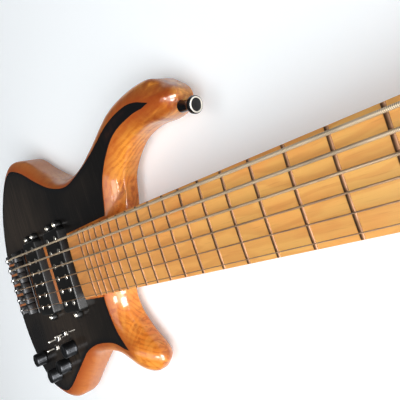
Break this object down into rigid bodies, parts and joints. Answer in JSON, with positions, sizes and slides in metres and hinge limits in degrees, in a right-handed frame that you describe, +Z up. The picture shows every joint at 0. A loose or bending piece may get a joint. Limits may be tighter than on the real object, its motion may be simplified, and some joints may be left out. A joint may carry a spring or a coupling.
{
  "type": "electric bass guitar",
  "caption": "Electric bass guitar: neck-through body with a curled upper horn and stained top, long fretted maple board, pole-piece pickups, sliding saddles, geared tuners.",
  "frame": {"origin": "on the body's flat back, under the line where the speaking length of the strings ends at the bridge, midway across the neck block", "axes": "+X from the tail to the headstock, +Y towards the upper horn and the thickest string, +Z up from the flat back through the face"},
  "size_m": [1.1905, 0.3501, 0.0601],
  "materials": {
    "natural_wood": "glossy clear lacquer over flamed amber wood",
    "stained_wood": "dark stain under gloss lacquer",
    "maple": "satin maple",
    "string_wire": "round wound",
    "black_metal": "satin black plating",
    "black_plastic": "matt",
    "nickel": "bright",
    "steel": "plain",
    "battery_case": "dark sleeve"
  },
  "bodies": {
    "guitar": {"neck": "natural_wood", "wing_bass": "natural_wood", "wing_treble": "natural_wood", "cap_bass": "stained_wood", "cap_treble": "stained_wood", "fretboard": "maple", "nut": "black_plastic", "truss_rod": "steel", "truss_rod_cover": "black_plastic", "string_1": "string_wire", "string_2": "string_wire", "string_3": "string_wire", "string_4": "string_wire", "string_5": "string_wire", "string_6": "string_wire", "bridge_plate": "black_metal", "tuner_housing_1": "black_metal", "tuner_housing_2": "black_metal", "tuner_housing_3": "black_metal", "tuner_housing_4": "black_metal", "tuner_housing_5": "black_metal", "tuner_housing_6": "black_metal", "bridge_pickup_cover": "black_plastic", "bridge_pickup_core": "black_plastic", "neck_pickup_cover": "black_plastic", "neck_pickup_core": "black_plastic", "control_board": "black_plastic", "control_cover": "black_plastic", "battery": "battery_case", "battery_cover": "black_plastic", "output_jack": "black_metal", "strap_button_horn": "black_metal", "strap_button_tail": "black_metal"},
    "saddle_1_body": {"saddle_1": "black_metal"},
    "saddle_2_body": {"saddle_2": "black_metal"},
    "saddle_3_body": {"saddle_3": "black_metal"},
    "saddle_4_body": {"saddle_4": "black_metal"},
    "saddle_5_body": {"saddle_5": "black_metal"},
    "saddle_6_body": {"saddle_6": "black_metal"},
    "tuner_key_1_body": {"tuner_key_1": "black_metal"},
    "tuner_key_2_body": {"tuner_key_2": "black_metal"},
    "tuner_key_3_body": {"tuner_key_3": "black_metal"},
    "tuner_key_4_body": {"tuner_key_4": "black_metal"},
    "tuner_key_5_body": {"tuner_key_5": "black_metal"},
    "tuner_key_6_body": {"tuner_key_6": "black_metal"},
    "tuner_post_1_body": {"tuner_post_1": "black_metal"},
    "tuner_post_2_body": {"tuner_post_2": "black_metal"},
    "tuner_post_3_body": {"tuner_post_3": "black_metal"},
    "tuner_post_4_body": {"tuner_post_4": "black_metal"},
    "tuner_post_5_body": {"tuner_post_5": "black_metal"},
    "tuner_post_6_body": {"tuner_post_6": "black_metal"},
    "knob_1_body": {"knob_1": "black_metal"},
    "knob_2_body": {"knob_2": "black_metal"},
    "knob_3_body": {"knob_3": "black_metal"},
    "knob_4_body": {"knob_4": "black_metal"},
    "toggle_lever_1_body": {"toggle_lever_1": "nickel"},
    "toggle_lever_2_body": {"toggle_lever_2": "nickel"},
    "toggle_lever_3_body": {"toggle_lever_3": "nickel"}
  },
  "joints": [
    {"name": "saddle_1_slide", "type": "slide", "parent": "guitar", "child": "saddle_1_body", "axis": [1, 0, 0], "range_m": [-0.003, 0.003]},
    {"name": "saddle_2_slide", "type": "slide", "parent": "guitar", "child": "saddle_2_body", "axis": [1, 0, 0], "range_m": [-0.003, 0.003]},
    {"name": "saddle_3_slide", "type": "slide", "parent": "guitar", "child": "saddle_3_body", "axis": [1, 0, 0], "range_m": [-0.003, 0.003]},
    {"name": "saddle_4_slide", "type": "slide", "parent": "guitar", "child": "saddle_4_body", "axis": [1, 0, 0], "range_m": [-0.003, 0.003]},
    {"name": "saddle_5_slide", "type": "slide", "parent": "guitar", "child": "saddle_5_body", "axis": [1, 0, 0], "range_m": [-0.003, 0.003]},
    {"name": "saddle_6_slide", "type": "slide", "parent": "guitar", "child": "saddle_6_body", "axis": [1, 0, 0], "range_m": [-0.003, 0.003]},
    {"name": "tuner_key_1_turn", "type": "hinge", "parent": "guitar", "child": "tuner_key_1_body", "pos_m": [0.94065, 0.027, 0.02139], "axis": [0, 1, 0], "continuous": true},
    {"name": "tuner_key_2_turn", "type": "hinge", "parent": "guitar", "child": "tuner_key_2_body", "pos_m": [0.98249, 0.022, 0.01773], "axis": [0, 1, 0], "continuous": true},
    {"name": "tuner_key_3_turn", "type": "hinge", "parent": "guitar", "child": "tuner_key_3_body", "pos_m": [1.02433, 0.017, 0.01407], "axis": [0, 1, 0], "continuous": true},
    {"name": "tuner_key_4_turn", "type": "hinge", "parent": "guitar", "child": "tuner_key_4_body", "pos_m": [1.02433, -0.017, 0.01407], "axis": [0, -1, 0], "continuous": true},
    {"name": "tuner_key_5_turn", "type": "hinge", "parent": "guitar", "child": "tuner_key_5_body", "pos_m": [0.98249, -0.022, 0.01773], "axis": [0, -1, 0], "continuous": true},
    {"name": "tuner_key_6_turn", "type": "hinge", "parent": "guitar", "child": "tuner_key_6_body", "pos_m": [0.94065, -0.027, 0.02139], "axis": [0, -1, 0], "continuous": true},
    {"name": "tuner_post_1_turn", "type": "hinge", "parent": "guitar", "child": "tuner_post_1_body", "pos_m": [0.94232, 0.027, 0.04042], "axis": [0.0872, 0, 0.9962], "continuous": true},
    {"name": "tuner_post_2_turn", "type": "hinge", "parent": "guitar", "child": "tuner_post_2_body", "pos_m": [0.98416, 0.022, 0.03676], "axis": [0.0872, 0, 0.9962], "continuous": true},
    {"name": "tuner_post_3_turn", "type": "hinge", "parent": "guitar", "child": "tuner_post_3_body", "pos_m": [1.026, 0.017, 0.03309], "axis": [0.0872, 0, 0.9962], "continuous": true},
    {"name": "tuner_post_4_turn", "type": "hinge", "parent": "guitar", "child": "tuner_post_4_body", "pos_m": [1.026, -0.017, 0.03309], "axis": [0.0872, 0, 0.9962], "continuous": true},
    {"name": "tuner_post_5_turn", "type": "hinge", "parent": "guitar", "child": "tuner_post_5_body", "pos_m": [0.98416, -0.022, 0.03676], "axis": [0.0872, 0, 0.9962], "continuous": true},
    {"name": "tuner_post_6_turn", "type": "hinge", "parent": "guitar", "child": "tuner_post_6_body", "pos_m": [0.94232, -0.027, 0.04042], "axis": [0.0872, 0, 0.9962], "continuous": true},
    {"name": "knob_1_turn", "type": "hinge", "parent": "guitar", "child": "knob_1_body", "pos_m": [0.0895, -0.1005, 0.0426], "axis": [0, 0, 1], "range_deg": [-145, 145]},
    {"name": "knob_2_turn", "type": "hinge", "parent": "guitar", "child": "knob_2_body", "pos_m": [0.0505, -0.125, 0.0426], "axis": [0, 0, 1], "range_deg": [-145, 145]},
    {"name": "knob_3_turn", "type": "hinge", "parent": "guitar", "child": "knob_3_body", "pos_m": [0.004, -0.1405, 0.0426], "axis": [0, 0, 1], "range_deg": [-145, 145]},
    {"name": "knob_4_turn", "type": "hinge", "parent": "guitar", "child": "knob_4_body", "pos_m": [-0.042, -0.1185, 0.0426], "axis": [0, 0, 1], "range_deg": [-145, 145]},
    {"name": "toggle_1_flip", "type": "hinge", "parent": "guitar", "child": "toggle_lever_1_body", "pos_m": [0.068, -0.082, 0.0436], "axis": [0, 1, 0], "range_deg": [-12, 12]},
    {"name": "toggle_2_flip", "type": "hinge", "parent": "guitar", "child": "toggle_lever_2_body", "pos_m": [0.038, -0.089, 0.0436], "axis": [0, 1, 0], "range_deg": [-12, 12]},
    {"name": "toggle_3_flip", "type": "hinge", "parent": "guitar", "child": "toggle_lever_3_body", "pos_m": [0.022, -0.1025, 0.0436], "axis": [0, 1, 0], "range_deg": [-12, 12]}
  ],
  "couplings": [
    {"joint": "tuner_post_1_turn", "follows": "tuner_key_1_turn", "ratio": 0.05},
    {"joint": "tuner_post_2_turn", "follows": "tuner_key_2_turn", "ratio": 0.05},
    {"joint": "tuner_post_3_turn", "follows": "tuner_key_3_turn", "ratio": 0.05},
    {"joint": "tuner_post_4_turn", "follows": "tuner_key_4_turn", "ratio": 0.05},
    {"joint": "tuner_post_5_turn", "follows": "tuner_key_5_turn", "ratio": 0.05},
    {"joint": "tuner_post_6_turn", "follows": "tuner_key_6_turn", "ratio": 0.05}
  ]
}
